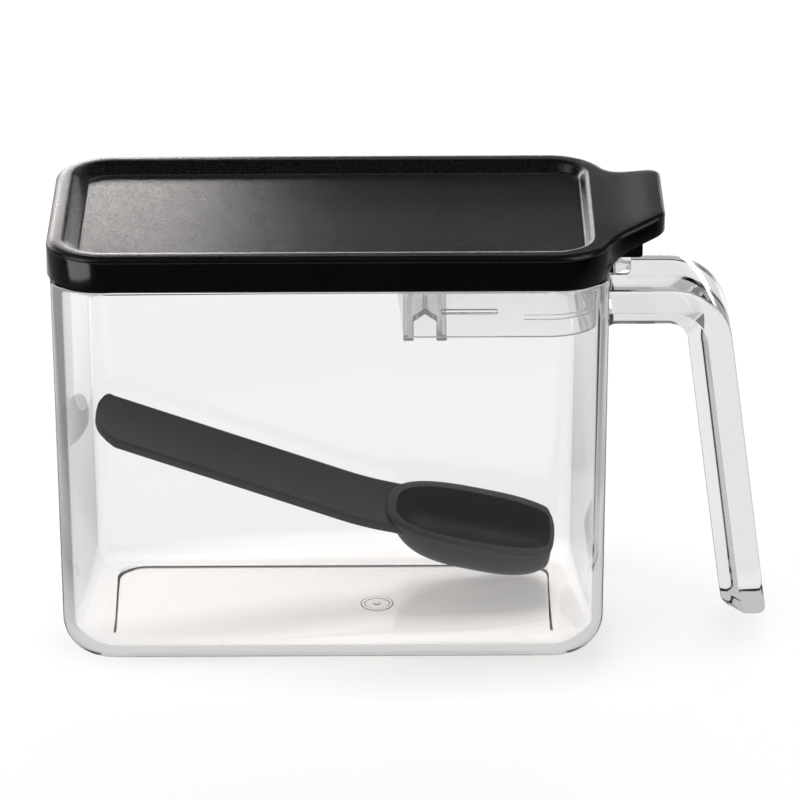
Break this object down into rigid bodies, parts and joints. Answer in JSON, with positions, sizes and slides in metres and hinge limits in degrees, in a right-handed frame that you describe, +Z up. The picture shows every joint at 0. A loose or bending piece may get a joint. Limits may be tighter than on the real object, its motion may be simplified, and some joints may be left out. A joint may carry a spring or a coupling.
{
  "type": "spice jar",
  "caption": "Clear rectangular spice jar with a strap handle, a hinged dark lid with a thumb tab, a drop-in hinge frame with a levelling bar, and a measuring spoon inside.",
  "frame": {"origin": "middle of the footprint of the whole jar with its handle, on the surface that it stands on", "axes": "+Z up, +X along the jar towards the handle, +Y across the jar, away from the viewer of the picture"},
  "size_m": [0.1676, 0.0682, 0.1069],
  "materials": {
    "clear_plastic": "clear, polished",
    "black_plastic": "satin black with a fine spark texture on its top",
    "frosted_plastic": "translucent, slightly frosted",
    "grey_plastic": "dark grey, fine matt"
  },
  "bodies": {
    "jar": {"jar": "clear_plastic"},
    "hinge_frame": {"hinge_frame": "frosted_plastic"},
    "lid": {"lid": "black_plastic"},
    "spoon": {"measuring_spoon": "grey_plastic"}
  },
  "joints": [
    {"name": "frame_lift", "type": "slide", "parent": "jar", "child": "hinge_frame", "axis": [0, 0, 1], "range_m": [0, 0.03]},
    {"name": "lid_hinge", "type": "hinge", "parent": "hinge_frame", "child": "lid", "pos_m": [0.05049, 0, 0.09726], "axis": [0, 1, 0], "range_deg": [0, 100]},
    {"name": "spoon_lift", "type": "slide", "parent": "jar", "child": "spoon", "axis": [0, 0, 1], "range_m": [0, 0.05]}
  ]
}
